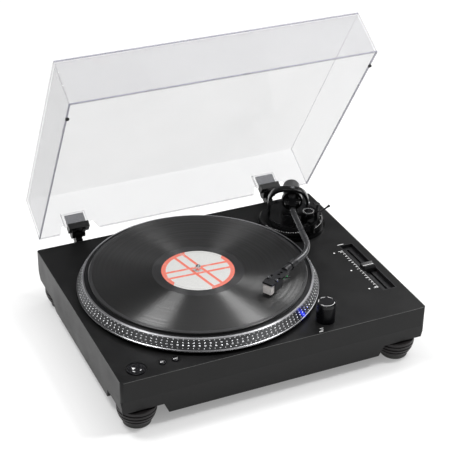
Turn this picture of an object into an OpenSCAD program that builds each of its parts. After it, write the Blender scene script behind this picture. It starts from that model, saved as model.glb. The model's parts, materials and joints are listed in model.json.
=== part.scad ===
// S-arm record player: plinth, platter with a record, tonearm and hinged clear lid.
// Origin: on the floor under the centre of the plinth. +X right, +Y back, +Z up. Millimetres.

/* [Plinth] */
// Width of the plinth, left to right
body_w = 440; // [436:1:450]
// Depth of the plinth, front to back
body_d = 347; // [345:1:360]
// Height of the deck surface above the floor
deck_z = 82.3; // [81:0.1:84]
// Height of the seam between the deck shell and the base shell
seam_z = 52.5; // [50:0.5:56]
// Height of the base shell's corners above the floor
skirt_z = 33; // [30:0.5:36]
// Height of the belly's underside above the floor
belly_z = 16.5; // [14:0.5:20]
// Wall thickness of both shells
shell_t = 3; // [2.5:0.1:3.5]

/* [Feet] */
// Distance from a foot's centre to the plinth's side
foot_in_x = 29.5; // [28:0.5:32]
// Distance from a foot's centre to the plinth's front or back
foot_in_y = 24.9; // [24.5:0.1:28]
// Largest radius of a foot
foot_r = 26.5; // [25:0.5:26.5]

/* [Platter and record] */
// Platter centre, left-right
platter_x = -42.2; // [-44:0.1:-40]
// Platter centre, front-back
platter_y = -1.5; // [-2:0.1:0]
// Radius of the platter's bottom lip
platter_r = 167; // [165:0.5:167.4]
// Height of the platter's bottom lip above the floor
platter_z = 87.5; // [87:0.1:88]
// Radius of the record, 12 inch size
record_r = 150.5; // [150:0.1:151]
// Height of the record's playing surface above the floor
record_z = 106.3; // [106:0.1:106.5]
// Radius of the spindle's bare end
spindle_r = 3.58; // [3.5:0.01:3.6]

/* [Tonearm] */
// Tonearm pivot, left-right
arm_x = 150.4; // [149:0.1:152]
// Tonearm pivot, front-back
arm_y = 95.7; // [94:0.1:97]
// Height of the arm tube's axis above the floor
arm_z = 125; // [124.8:0.1:125.4]
// Heading of the arm's bearing block, degrees from +X
block_dir = 245; // [243:0.5:247]
// Heading of the S tube's long straight
middle_dir = 256; // [254:0.5:258]
// Heading of the headshell
shell_dir = 210.5; // [209:0.5:213]
// Outside diameter of the arm tube
tube_d = 8.6; // [8:0.1:9]
// Outward swing from the playing position to the arm rest
swing_out = 25; // [24:0.5:26]

/* [Lid] */
// Outside width of the lid
lid_w = 432.5; // [430:0.5:434]
// Outside depth of the lid
lid_d = 341.2; // [341:0.1:343]
// Outside height of the lid
lid_h = 67.4; // [66:0.1:70]
// Wall thickness of the lid
lid_t = 2.6; // [2.4:0.1:2.7]
// Opening angle of the lid
lid_open = 58.4; // [55:0.1:62]
// Distance of each hinge from the middle of the plinth
hinge_x = 154; // [150:1:158]

/* [Hidden] */
$fn = 96;

eps = 0.01;
function dir(a) = [cos(a), sin(a)];

// plinth
corner_r = 4;
plate_t = 4;
draft = 2.4;
belly_slope = 7;
corner_notch = 59;
boss_r = 4.5;
boss_bore_r = 1.5;
boss_in = 16;
boss_x = body_w / 2 - boss_in;
boss_y = body_d / 2 - boss_in;
under_deck_z = deck_z - plate_t;

// feet
foot_x = body_w / 2 - foot_in_x;
foot_y = body_d / 2 - foot_in_y;
foot_pad_h = 6.5;
stud_r = 3;
foot_pad_r = foot_r - 7;

// controls on the deck
start_x = -190.5;
start_y = -150.5;
start_r = 12.3;
speed_r = 4.6;
speed_33_x = -155;
speed_45_x = -137;
speed_y = -150.5;
button_gap = 0.35;
button_ring = 1.9;
button_proud = 0.8;
button_skirt = 7;
tower_x = 80;
tower_y = -147;
tower_r = 12.8;
tower_top = 105.6;
knob_top = 111.3;
knob_stem_r = 4;
fader_x = 198;
fader_y = -50.5;
fader_w = 22;
fader_len = 129;
fader_travel = 50;
slot_w = 3.4;
tray_t = 1.5;
tray_depth = 7;

// platter, record and motor
mat_t = 2.7;
record_t = 1.9;
label_r = 50.6;
label_t = 0.1;
record_low = record_z - label_t - record_t;
mat_low = record_low - mat_t;
web_z = mat_low - 4.6;
bearing_r = 4;
neck_r = 3.1;
run_gap = 0.05;
bearing_low = 60;
motor_hole_r = 62;
poles = 12;
stator_z = under_deck_z + 3;

// tonearm
pivot = [arm_x, arm_y];
s_block = 30;
bend_1_r = 50;
s_middle = 79;
bend_2_r = 63;
s_front = 81;
p_bend_1 = pivot + s_block * dir(block_dir);
c_bend_1 = p_bend_1 + bend_1_r * dir(block_dir + 90);
p_middle = c_bend_1 + bend_1_r * dir(middle_dir - 90);
p_bend_2 = p_middle + s_middle * dir(middle_dir);
c_bend_2 = p_bend_2 + bend_2_r * dir(middle_dir - 90);
p_shell = c_bend_2 + bend_2_r * dir(shell_dir + 90);
p_front = p_shell + s_front * dir(shell_dir);
shell_len = 56;
collar_len = 13;
collar_r = 5.9;
tube_end = s_front - shell_len - collar_len / 2;
shell_top = arm_z + 1.2;
shell_t2 = 2.4;
rear_dir = block_dir - 180;
base_top = 102;
base_r = 36.8;
flange_top = 87.2;
ring_top = 95.5;
ring_in = 41;
ring_r = 47.8;
column_r = 30;
yoke_shift = 5.5;
yoke_half = 30;
yoke_t = 4;
yoke_deep = 13;
yoke_top = 20;
gimbal_r = 15.3;
gimbal_t = 3.2;
gimbal_half = 4;
pin_r = 1.5;
lift_r = 35;
lift_dir = 249;
dial = pivot + 30 * dir(298);
cue = pivot + 36.5 * dir(325);
cue_dir = 10;
cue_tilt = 18;
cue_z = 104;
rest_dir = 249.4 + swing_out;
rest = pivot + 57.9 * dir(rest_dir);
rest_heading = middle_dir + swing_out;
clip_open = 100;

// lid, drawn closed and then turned open about the hinge axis
hinge_y = 184.1;
hinge_z = deck_z + 7.7;
rim_z = deck_z + 2;
lid_back = 169.4;
hinge_pin_r = 2.5;
knuckle_r = 6.3;
knuckle_half = 5;
cheek_half = 10;
arm_half = 15.5;
notch_top = 14;

module rounded_plate(w, d, r) {
    square([w - 2 * r, d], center = true);
    square([w, d - 2 * r], center = true);
    for (x = [-1, 1], y = [-1, 1]) translate([x * (w / 2 - r), y * (d / 2 - r)]) circle(r = r);
}
module slab(w, d, r, low, high) {
    translate([0, 0, low]) linear_extrude(high - low) rounded_plate(w, d, r);
}
module ring(r_out, r_in, low, high) {
    translate([0, 0, low]) difference() {
        cylinder(r = r_out, h = high - low);
        translate([0, 0, -1]) cylinder(r = r_in, h = high - low + 2);
    }
}
module rod(r, low, high) { translate([0, 0, low]) cylinder(r = r, h = high - low); }
module block(x, y, low, high) {
    translate([-x / 2, -y / 2, low]) cube([x, y, high - low]);
}
module four_feet() { for (x = [-1, 1], y = [-1, 1]) translate([x * foot_x, y * foot_y, 0]) children(); }
module bosses() { for (x = [-1, 0, 1], y = [-1, 1]) translate([x * boss_x * 0.72, y * boss_y, 0]) children(); }
module at_platter() { translate([platter_x, platter_y, 0]) children(); }
module at_pivot() { translate([arm_x, arm_y, 0]) children(); }
// children drawn with +X towards the back of the arm, the pivot at the origin and Z = 0 on its axis
module along_arm() { translate([arm_x, arm_y, arm_z]) rotate([0, 0, rear_dir]) children(); }
// children drawn with +X from the front edge of the headshell back towards the tube
module along_shell() { translate([p_front[0], p_front[1], 0]) rotate([0, 0, shell_dir - 180]) children(); }
module lid_turn() {
    translate([0, hinge_y, hinge_z]) rotate([-lid_open, 0, 0]) translate([0, -hinge_y, -hinge_z]) children();
}
module two_hinges() { for (x = [-1, 1]) translate([x * hinge_x, 0, 0]) children(); }

module deck_holes() {
    at_platter() rod(motor_hole_r, seam_z - 1, deck_z + 1);
    translate([start_x, start_y, 0]) {
        rod(start_r + button_gap, seam_z, deck_z + 1);
        rod(start_r + button_ring, deck_z - 1, deck_z + 1);
    }
    for (x = [speed_33_x, speed_45_x]) translate([x, speed_y, 0]) {
        rod(speed_r + button_gap, seam_z, deck_z + 1);
        rod(speed_r + button_ring, deck_z - 0.8, deck_z + 1);
    }
    translate([tower_x, tower_y, 0]) rod(knob_stem_r + 3, seam_z, deck_z + 1);
    translate([fader_x, fader_y, 0]) block(fader_w, fader_len, seam_z, deck_z + 1);
    at_pivot() rod(column_r + 6, seam_z, deck_z + 1);
}
module deck_shell() {
    color("#26272a") difference() {
        union() {
            difference() {
                slab(body_w, body_d, corner_r, seam_z, deck_z);
                slab(body_w - 2 * shell_t, body_d - 2 * shell_t, 1.5, seam_z - 1, under_deck_z);
            }
            bosses() rod(boss_r, seam_z, under_deck_z + 1);
        }
        bosses() rod(boss_bore_r, seam_z - 1, under_deck_z - 8);
        deck_holes();
        translate([96, body_d / 2 - 5, 0]) block(62, 20, 58, 76);
        translate([-96, body_d / 2 - 5, 0]) block(30, 20, 58, 76);
    }
}

// drafted lower block, used for the outside and, smaller, for the hollow
module draft_block(inset, low, high) {
    half_w = body_w / 2 - inset;
    half_d = body_d / 2 - inset;
    slope = draft / (seam_z - skirt_z);
    in = slope * (high - low);
    intersection() {
        rotate([90, 0, 0]) linear_extrude(body_d + 2, center = true)
            polygon([[-half_w + in, low], [half_w - in, low], [half_w, high], [-half_w, high]]);
        rotate([90, 0, 90]) linear_extrude(body_w + 2, center = true)
            polygon([[-half_d + in, low], [half_d - in, low], [half_d, high], [-half_d, high]]);
        slab(body_w - 2 * inset, body_d - 2 * inset, corner_r, low, high);
    }
}
module belly_bar(len, width, low, high) {
    slope = belly_slope * (high - low) / (skirt_z - belly_z);
    rotate([90, 0, 0]) linear_extrude(width, center = true)
        polygon([[-len / 2 + slope, low], [len / 2 - slope, low], [len / 2, high], [-len / 2, high]]);
}
// shape of the base: the drafted block, cut away at its four lower corners
module base_form(inset, top) {
    low = belly_z + inset;
    mid = skirt_z + inset;
    intersection() {
        draft_block(inset, low, top);
        union() {
            slab(body_w, body_d, corner_r, mid, top);
            belly_bar(body_w - 2 * corner_notch - 2 * inset, body_d + 2, low, mid + 0.5);
            rotate([0, 0, 90])
                belly_bar(body_d - 2 * corner_notch - 2 * inset, body_w + 2, low, mid + 0.5);
        }
    }
}
module base_shell() {
    color("#2b2c2f") difference() {
        union() {
            difference() {
                base_form(0, seam_z);
                base_form(shell_t, seam_z + 1);
            }
            bosses() rod(boss_r + 1, belly_z + 1, seam_z);
            translate([-20, 60, 0]) for (x = [-65, 65], y = [-40, 40]) translate([x, y, 0])
                rod(3, belly_z + 1, belly_z + 9);
        }
        bosses() rod(boss_bore_r + 0.5, belly_z - 1, seam_z + 1);
        bosses() rod(4, belly_z - 1, belly_z + 12);
        four_feet() rod(stud_r + 0.05, skirt_z - 1, skirt_z + shell_t + 1);
    }
}
module base_screws() {
    color("#9a9ca0") bosses() {
        rod(3.6, belly_z + 9, belly_z + 12);
        rod(boss_bore_r, belly_z + 12 - eps, seam_z + 14);
    }
}
module foot_housings() {
    color("#303236") four_feet() rotate_extrude() polygon([[0, foot_pad_h], [foot_pad_r, foot_pad_h],
        [foot_r - 5, 8.5], [foot_r - 3.3, 12], [foot_r - 4.4, 12.4], [foot_r - 4.2, 13.4],
        [foot_r - 2.2, 14.2], [foot_r - 1.2, 17.8], [foot_r - 2.3, 18.2], [foot_r - 2.1, 19.2],
        [foot_r - 0.5, 20], [foot_r, 23.6], [foot_r - 1.1, 24], [foot_r - 1, 25], [foot_r, 25.6],
        [foot_r, 29.2], [foot_r - 0.9, skirt_z - 2.8], [14, skirt_z - 2.8], [14, skirt_z],
        [stud_r, skirt_z], [stud_r, skirt_z + 9], [0, skirt_z + 9]]);
}
module foot_pads() {
    color("#1d1d1f") four_feet() rotate_extrude()
        polygon([[0, 0], [foot_pad_r - 2, 0], [foot_pad_r - 0.8, 1.2], [foot_pad_r - 0.2, foot_pad_h],
            [0, foot_pad_h]]);
}

module bearing_housing() {
    color("#8d9094") at_platter() {
        ring(11, 8, bearing_low, 86);
        ring(motor_hole_r + 12, 11, under_deck_z - 3, under_deck_z);
        rod(11, bearing_low - 2, bearing_low);
    }
}
module bearing_sleeve() { color("#b9913f") at_platter() ring(8, bearing_r + run_gap, bearing_low, 85.5); }
module motor_board() { color("#2f6b46") at_platter() ring(58, 12.5, under_deck_z, under_deck_z + 1.6); }
module stator_core() {
    low = stator_z;
    color("#74777c") at_platter() {
        ring(19, 11, low, low + 5);
        for (i = [1 : poles]) rotate([0, 0, i * 360 / poles]) translate([19 - 0.4, -2, low])
            cube([15.4, 4, 5]);
        for (i = [1 : poles]) rotate([0, 0, i * 360 / poles]) translate([34, -7, low]) cube([3.6, 14, 5]);
    }
}
module stator_coils() {
    low = stator_z;
    color("#b5692f") at_platter() for (i = [1 : poles]) rotate([0, 0, i * 360 / poles])
        translate([23, 0, 0]) difference() {
            translate([0, -4, low - 1.2]) cube([9.5, 8, 7.4]);
            translate([-1, -2, low]) cube([12, 4, 5]);
        }
}
module main_board() {
    color("#2f6b46") translate([-20, 60, 0]) block(146, 96, belly_z + 9, belly_z + 10.6);
}
module board_parts() {
    low = belly_z + 10.6;
    color("#3a3d42") translate([-20, 60, 0]) {
        translate([-30, 10, 0]) block(26, 18, low, low + 3);
        translate([12, -14, 0]) block(14, 14, low, low + 2);
        for (i = [0 : 3]) translate([-50 + i * 14, -26, 0]) rod(4.5, low, low + 12);
        translate([46, 20, 0]) block(16, 24, low, low + 10);
        for (i = [0 : 4]) translate([-20 + i * 9, 36, 0]) block(6, 8, low, low + 7);
    }
}
module transformer() {
    color("#6a5a3c") translate([-150, 60, 0]) {
        block(48, 40, belly_z + shell_t, belly_z + shell_t + 30);
        block(30, 58, belly_z + shell_t + 6, belly_z + shell_t + 24);
    }
}
module signal_jacks() {
    back = body_d / 2;
    color("#c9cbd0") translate([96, back, 67]) rotate([-90, 0, 0]) {
        difference() {
            translate([-30.6, -8.6, -3]) cube([61.2, 17.2, 2.2]);
            for (x = [-14, 6]) translate([x, 0, -4]) cylinder(r = 3.9, h = 4);
            translate([24, 0, -4]) cylinder(r = 2, h = 4);
        }
        for (x = [-14, 6]) translate([x, 0, 0]) {
            difference() {
                translate([0, 0, -8]) cylinder(r = 3.9, h = 14);
                translate([0, 0, -1]) cylinder(r = 1.6, h = 8);
            }
        }
    }
}
module ground_terminal() {
    color("#b9b9bb") translate([120, body_d / 2, 67]) rotate([-90, 0, 0]) {
        translate([0, 0, -8]) cylinder(r = 2, h = 14);
        translate([0, 0, 1]) cylinder(r = 4.2, h = 4);
    }
}
module mains_inlet() {
    color("#1b1b1d") translate([-96, body_d / 2, 67]) rotate([-90, 0, 0]) difference() {
        translate([-14.6, -8.6, -16]) cube([29.2, 17.2, 16]);
        for (x = [-3.3, 3.3]) translate([x, 0, -11]) cylinder(r = 3.6, h = 12);
        translate([-3.3, -3.6, -11]) cube([6.6, 7.2, 12]);
    }
}
module pitch_bezel() {
    color("#17181a") translate([fader_x, fader_y, 0]) difference() {
        block(fader_w - 0.2, fader_len - 0.2, deck_z - tray_depth, deck_z);
        block(fader_w - 2 * tray_t, fader_len - 2 * tray_t, deck_z - tray_depth + tray_t, deck_z + 1);
        block(slot_w, 2 * fader_travel + 14, deck_z - tray_depth - 1, deck_z);
    }
}
module pitch_fader() {
    low = deck_z - tray_depth - 12;
    color("#8b8d91") translate([fader_x, fader_y, 0]) difference() {
        block(14, fader_len - 2, low, deck_z - tray_depth);
        block(slot_w + 1.4, 2 * fader_travel + 16, low + 2, deck_z - tray_depth + 1);
    }
}
module pitch_cap() {
    floor_z = deck_z - tray_depth + tray_t;
    top = deck_z + 5;
    color("#202124") translate([fader_x, fader_y - 2, 0]) {
        rotate([90, 0, 90]) linear_extrude(fader_w - 2 * tray_t - 1, center = true)
            polygon([[-7, floor_z + 0.6], [7, floor_z + 0.6], [7, deck_z + 1], [5.4, top], [1, top - 1.6],
                [-1, top - 1.6], [-5.4, top], [-7, deck_z + 1]]);
        block(slot_w - 0.8, 6, deck_z - tray_depth - 7, floor_z + 1);
    }
}
module push_button(x, y, r) {
    translate([x, y, 0]) rotate_extrude() polygon([[0, deck_z - button_skirt], [r, deck_z - button_skirt],
        [r, deck_z + button_proud - 0.5], [r - 0.5, deck_z + button_proud], [0, deck_z + button_proud]]);
}
module start_button() { color("#1c1d1f") push_button(start_x, start_y, start_r); }
module speed_33_button() { color("#1c1d1f") push_button(speed_33_x, speed_y, speed_r); }
module speed_45_button() { color("#1c1d1f") push_button(speed_45_x, speed_y, speed_r); }
module button_switches() {
    top = deck_z - button_skirt - 1.5;
    color("#a7a9ad") for (p = [[start_x, start_y], [speed_33_x, speed_y], [speed_45_x, speed_y]])
        translate([p[0], p[1], 0]) {
            block(6, 6, top - 4.5, top - 1);
            rod(1.7, top - 1, top);
        }
    color("#a7a9ad") translate([-166, start_y, 0]) {
        translate([0, 2.7, 0]) block(72, 9, top - 6.1, top - 4.5 + eps);
        for (x = [-6, 20]) translate([x, 2.7, 0]) rod(2, top - 4.5, under_deck_z);
    }
}
module strobe_tower() {
    color("#161719") translate([tower_x, tower_y, 0]) difference() {
        union() {
            rod(tower_r, deck_z, tower_top);
            rod(knob_stem_r + 2.8, deck_z - 12, deck_z);
        }
        rod(knob_stem_r + run_gap, deck_z - 13, tower_top + 1);
        rotate([0, 0, 130]) translate([7.5, -4, deck_z + 7]) cube([8, 8, 8]);
    }
}
module strobe_lens() {
    color("#5a7bff") translate([tower_x, tower_y, 0]) rotate([0, 0, 130]) intersection() {
        translate([7.5, -4, deck_z + 7]) cube([8, 8, 8]);
        rod(tower_r - 0.3, deck_z, tower_top);
    }
}
module power_knob() {
    color("#1a1b1d") translate([tower_x, tower_y, 0]) {
        rotate_extrude() polygon([[0, tower_top + 0.4], [tower_r + 0.2, tower_top + 0.4],
            [tower_r + 0.2, knob_top - 0.8], [tower_r - 0.6, knob_top], [0, knob_top]]);
        rod(knob_stem_r, deck_z - 12, tower_top + 1);
    }
}

module platter() {
    color("#9fa1a6") at_platter() difference() {
        rotate_extrude($fn = 180) polygon([[14.4, web_z], [24, web_z], [150, web_z],
            [platter_r - 10.5, web_z - 1.5], [platter_r - 5, platter_z], [platter_r, platter_z],
            [platter_r, platter_z + 1.7], [platter_r - 1.2, platter_z + 2.4],
            [platter_r - 7.9, platter_z + 14.9], [platter_r - 8.5, platter_z + 15.5],
            [platter_r - 10.8, platter_z + 15.5], [platter_r - 11.4, platter_z + 14.9],
            [platter_r - 11.6, mat_low], [3.65, mat_low], [3.65, web_z + 2], [14.4, web_z + 2]]);
        for (a = [0, 180]) rotate([0, 0, a]) translate([88, 0, 0]) rod(14, web_z - 3, mat_low + 1);
    }
}
module rotor_magnet() { color("#4a4d52") at_platter() ring(55, 41, web_z - 6.5, web_z); }
module spindle() {
    color("#d9dbde") at_platter() rotate_extrude() polygon([[0, bearing_low + 0.2], [bearing_r, bearing_low + 0.2],
        [bearing_r, 88], [12, 88], [12, web_z - 1], [14.3, web_z - 1], [14.3, web_z + 2],
        [3.65, web_z + 2], [3.65, mat_low], [neck_r, mat_low], [neck_r, record_z + 0.3],
        [spindle_r, record_z + 0.3], [spindle_r, record_z + 6.8], [2.4, record_z + 8], [0, record_z + 8.4]]);
}
module slipmat() { color("#3a3a3d") at_platter() ring(record_r - 1, 3.75, mat_low, record_low); }
module record() {
    low = record_low;
    top = record_low + record_t;
    color("#141416") at_platter() rotate_extrude($fn = 180) polygon([[3.75, low], [record_r - 0.6, low],
        [record_r, low + 0.6], [record_r, top - 0.6], [record_r - 0.6, top], [record_r - 4, top],
        [record_r - 5, top - 0.15], [label_r + 8, top - 0.15], [label_r + 4, top], [3.75, top]]);
}
module record_label() {
    color("#c9bdb3") at_platter() ring(label_r, 3.75, record_z - label_t, record_z);
}

module arm_flange() {
    lug = 55.5 * dir(75);
    color("#1a1b1d") at_pivot() {
        difference() {
            union() {
                rod(50, deck_z, flange_top);
                rod(column_r + 5.6, deck_z - 18, deck_z + eps);
                translate([lug[0], lug[1], 0]) rod(7.5, deck_z, flange_top);
            }
            rod(column_r + 0.3, deck_z - 19, flange_top + 1);
        }
        translate([lug[0], lug[1], 0]) rod(2, flange_top, flange_top + 4);
    }
}
module height_ring() {
    flutes = 48;
    color("#222326") at_pivot() difference() {
        rotate_extrude() polygon([[ring_in, flange_top + 0.3], [ring_r, flange_top + 0.3],
            [ring_r, flange_top + 4.2], [ring_r - 0.6, ring_top - 0.5], [ring_r - 1.1, ring_top],
            [ring_in, ring_top]]);
        for (i = [1 : flutes]) rotate([0, 0, i * 360 / flutes]) translate([ring_r + 0.5, 0, 0])
            rod(1.4, flange_top, flange_top + 4.4);
    }
}
module lock_lever() {
    lug = 55.5 * dir(75);
    color("#1a1b1d") at_pivot() translate([lug[0], lug[1], 0]) difference() {
        union() {
            rod(5.2, flange_top + 0.3, flange_top + 4.4);
            rotate([0, 0, 165]) translate([0, -2, flange_top + 1]) cube([12, 4, 3]);
            translate([12 * cos(165), 12 * sin(165), 0]) rod(3, flange_top + 1, flange_top + 6);
        }
        rod(2 + run_gap, flange_top, flange_top + 5);
    }
}
module arm_base() {
    c = cue - pivot;
    color("#19191b") difference() {
        union() {
            at_pivot() {
                rod(column_r, deck_z - 17, flange_top + 1);
                rod(ring_in - 0.4, flange_top + 0.8, 97);
                rod(38.6, 97 - eps, 99.5);
                rod(base_r, 99.5 - eps, base_top);
                rod(4, base_top - eps, arm_z - gimbal_r - 0.6);
                translate([c[0], c[1], 0]) rod(6.3, 97, base_top);
                rotate([0, 0, rest_dir]) translate([30, -4.5, 97]) cube([31, 9, 3]);
            }
            translate([cue[0], cue[1], 0]) rod(4.9, base_top - eps, cue_z + 3.4);
        }
        at_pivot() rod(pin_r, 90, arm_z);
        at_pivot() rotate([0, 0, lift_dir]) translate([lift_r, 0, 0]) rod(2.55, 90, base_top + 1);
        translate([cue[0], cue[1], 0]) rotate([0, 0, cue_dir]) {
            translate([-4, -1.8, base_top - 1.2]) cube([14, 3.6, 12]);
            translate([0, 0, cue_z]) rotate([90, 0, 0]) cylinder(r = 1, h = 14, center = true);
        }
        translate([dial[0], dial[1], 0]) rod(2.5, 92, base_top + 1);
    }
}
module arch(half_w, top, r) {
    low = base_top - arm_z;
    translate([-half_w, low]) square([2 * half_w, top - r - low]);
    translate([r - half_w, low]) square([2 * (half_w - r), top - low]);
    for (x = [-1, 1]) translate([x * (half_w - r), top - r]) circle(r = r);
}
module gimbal_yoke() {
    color("#1d1e20") along_arm() difference() {
        translate([0, yoke_shift, 0]) rotate([90, 0, 90]) linear_extrude(yoke_deep, center = true)
            difference() {
                arch(yoke_half, yoke_top, 22);
                translate([0, -1]) arch(yoke_half - yoke_t, yoke_top - yoke_t + 1, 18);
            }
        cylinder(r = pin_r, h = 40);
        translate([0, yoke_shift - yoke_half + yoke_t + 1, -6]) rotate([90, 0, 0]) cylinder(r = 1.5, h = 12);
    }
}
module pivot_screws() {
    leg = yoke_shift - yoke_half;
    color("#d4d6da") along_arm() {
        translate([0, 0, gimbal_r - gimbal_t + 0.2])
            cylinder(r = pin_r, h = yoke_top - gimbal_r + gimbal_t - 0.2 + eps);
        difference() {
            translate([0, 0, yoke_top]) cylinder(r = 3.2, h = 1.6);
            translate([-4, -0.4, yoke_top + 0.9]) cube([8, 0.8, 1]);
        }
        translate([0, 0, 92 - arm_z]) cylinder(r = pin_r, h = arm_z - 92 - gimbal_r + gimbal_t - 0.2);
        translate([0, leg, -6]) rotate([90, 0, 0]) cylinder(r = 3, h = 1.6);
        translate([0, leg + yoke_t + 1, -6]) rotate([90, 0, 0]) cylinder(r = 1.5, h = yoke_t + 1 + eps);
    }
}
module gimbal_ring() {
    color("#2c2e31") along_arm() difference() {
        rotate([0, 90, 0]) cylinder(r = gimbal_r, h = 2 * gimbal_half, center = true);
        rotate([0, 90, 0]) cylinder(r = gimbal_r - gimbal_t, h = 10, center = true);
        cylinder(r = pin_r + run_gap, h = 50, center = true);
        rotate([90, 0, 0]) cylinder(r = pin_r + run_gap, h = 50, center = true);
    }
}
module arm_block() {
    color("#35373a") along_arm() difference() {
        union() {
            translate([-s_block, -5, -6.5]) cube([s_block + 12, 10, 13]);
            rotate([90, 0, 0]) cylinder(r = pin_r, h = 2 * gimbal_r - 1, center = true);
        }
        translate([-s_block - 1, 0, 0]) rotate([0, 90, 0]) cylinder(r = tube_d / 2, h = 9);
        translate([4, 0, 0]) rotate([0, 90, 0]) cylinder(r = 5, h = 10);
    }
}
module counterweight_shaft() {
    color("#8f9297") along_arm() translate([4, 0, 0]) rotate([0, 90, 0]) cylinder(r = 5 - eps, h = 39);
}
module tube_path(d) {
    translate([0, 0, arm_z]) {
        translate([p_bend_1[0], p_bend_1[1], 0]) rotate([0, 0, rear_dir]) rotate([0, 90, 0])
            cylinder(d = d, h = 8);
        translate([c_bend_1[0], c_bend_1[1], 0]) rotate([0, 0, block_dir - 90])
            rotate_extrude(angle = middle_dir - block_dir) translate([bend_1_r, 0]) circle(d = d);
        translate([p_middle[0], p_middle[1], 0]) rotate([0, 0, middle_dir]) rotate([0, 90, 0])
            cylinder(d = d, h = s_middle);
        translate([c_bend_2[0], c_bend_2[1], 0]) rotate([0, 0, shell_dir + 90])
            rotate_extrude(angle = middle_dir - shell_dir) translate([bend_2_r, 0]) circle(d = d);
        translate([p_shell[0], p_shell[1], 0]) rotate([0, 0, shell_dir]) rotate([0, 90, 0])
            cylinder(d = d, h = tube_end);
    }
}
module arm_tube() { color("#c3c5c9") tube_path(tube_d); }
module locking_collar() {
    color("#86898e") along_shell() translate([shell_len, 0, arm_z]) rotate([0, 90, 0]) difference() {
        cylinder(r = collar_r, h = collar_len);
        translate([0, 0, -1]) cylinder(r = tube_d / 2 + run_gap, h = collar_len + 2);
        for (i = [1 : 24]) rotate([0, 0, i * 15]) translate([collar_r + 0.15, 0, 3]) cylinder(r = 0.5, h = 7);
    }
}
module headshell() {
    low = shell_top - shell_t2;
    plate = [[0, -7.6], [0, 7.6], [6, 8.6], [30, 8.2], [44, 5.8], [52, 4.9], [52, -4.9], [44, -5.8],
        [30, -8.2], [6, -8.6]];
    color("#2a2b2e") along_shell() {
        difference() {
            union() {
                translate([0, 0, low]) linear_extrude(shell_t2) polygon(plate);
                translate([42, 0, arm_z]) rotate([0, 90, 0]) cylinder(r = 4.9, h = shell_len - 42.4);
                translate([shell_len - 1, 0, arm_z]) rotate([0, 90, 0])
                    cylinder(r = tube_d / 2, h = 1 + collar_len / 2);
            }
            for (y = [-6.35, 6.35]) {
                for (x = [11, 21]) translate([x, y, low - 1]) cylinder(r = 1.35, h = 5);
                translate([11, y - 1.35, low - 1]) cube([10, 2.7, 5]);
            }
            for (x = [28, 34]) translate([x, 0, low - 1]) cylinder(r = 2.2, h = 5);
            translate([40, -3, low - 4]) cube([3.5, 6, 5]);
        }
    }
}
module finger_lift() {
    root = shell_top - 0.9;
    color("#b9bbc0") along_shell() translate([26, -8.1, root]) rotate([66, 0, -6]) {
        cylinder(r = 0.8, h = 12);
        translate([0, 0, 12]) sphere(r = 0.95);
    }
}
module cartridge() {
    top = shell_top - shell_t2;
    color("#17181b") along_shell() {
        difference() {
            rotate([90, 0, 0]) linear_extrude(15.6, center = true) polygon([[8.2, top], [25.5, top],
                [25.5, top - 9], [22, top - 12.6], [8.2, top - 12.6]]);
            for (y = [-6.35, 6.35]) translate([14, y, top - 4]) cylinder(r = 1.2, h = 5);
        }
        for (y = [-4.5, -1.5, 1.5, 4.5]) translate([25.4, y, top - 5]) rotate([0, 90, 0])
            cylinder(r = 0.6, h = 4);
    }
}
module stylus_holder() {
    top = shell_top - shell_t2;
    tip = record_z + 0.25;
    color("#e8dcd8") along_shell() {
        rotate([90, 0, 0]) linear_extrude(12.6, center = true) polygon([[0.4, top - 1.2], [8.2, top - 0.6],
            [8.2, top - 13.6], [6.4, top - 14.4], [0.4, top - 14.4]]);
        translate([5.5, 0, tip]) cylinder(r1 = 0.15, r2 = 0.9, h = 3.2);
    }
}
module cartridge_screws() {
    low = shell_top - shell_t2;
    color("#c8cace") along_shell() for (y = [-6.35, 6.35]) translate([14, y, 0]) {
        rod(1.2, low - 4, shell_top);
        difference() {
            rod(2.1, shell_top, shell_top + 1.3);
            translate([-3, -0.3, shell_top + 0.7]) cube([6, 0.6, 1]);
        }
    }
}
module cartridge_wires() {
    z = shell_top - shell_t2 - 5;
    color("#a83a3a") along_shell() for (i = [0 : 3]) {
        y = -4.5 + 3 * i;
        side = y < 0 ? -1 : 1;
        bow = 5.2;
        translate([29.5 + bow, y, z]) rotate([side * 40, 0, 0]) rotate([0, 0, side > 0 ? 0 : 180])
            rotate_extrude(angle = 180) translate([bow, 0]) circle(r = 0.45);
    }
}
module counterweight() {
    color("#7d8085") along_arm() rotate([0, 90, 0]) difference() {
        translate([0, 0, 17.4]) rotate_extrude() polygon([[5 + run_gap, 0], [11.6, 0], [12.5, 0.9],
            [12.5, 23.6], [11.4, 24.7], [5 + run_gap, 24.7]]);
        translate([0, 0, 41]) rotate_extrude() translate([9.6, 1.2]) circle(r = 0.8, $fn = 24);
    }
}
module force_dial() {
    color("#1d1d1f") along_arm() rotate([0, 90, 0]) difference() {
        translate([0, 0, 12.6]) cylinder(r = 11.4, h = 4.4);
        translate([0, 0, 12]) cylinder(r = 5 + run_gap, h = 6);
        for (i = [1 : 30]) rotate([0, 0, i * 12]) translate([11.6, 0, 12]) cylinder(r = 0.55, h = 3);
    }
}
module anti_skate_dial() {
    color("#242528") translate([dial[0], dial[1], 0]) difference() {
        union() {
            rotate_extrude() polygon([[0, base_top + 1], [10.2, base_top + 1], [10.5, base_top + 1.4],
                [10.5, base_top + 13.8], [9.5, base_top + 15], [0, base_top + 15]]);
            rod(2.5 - run_gap, 93, base_top + 2);
        }
        for (i = [1 : 24]) rotate([0, 0, i * 15]) translate([10.8, 0, base_top + 3]) rod(0.7, 0, 8);
    }
}
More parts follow.
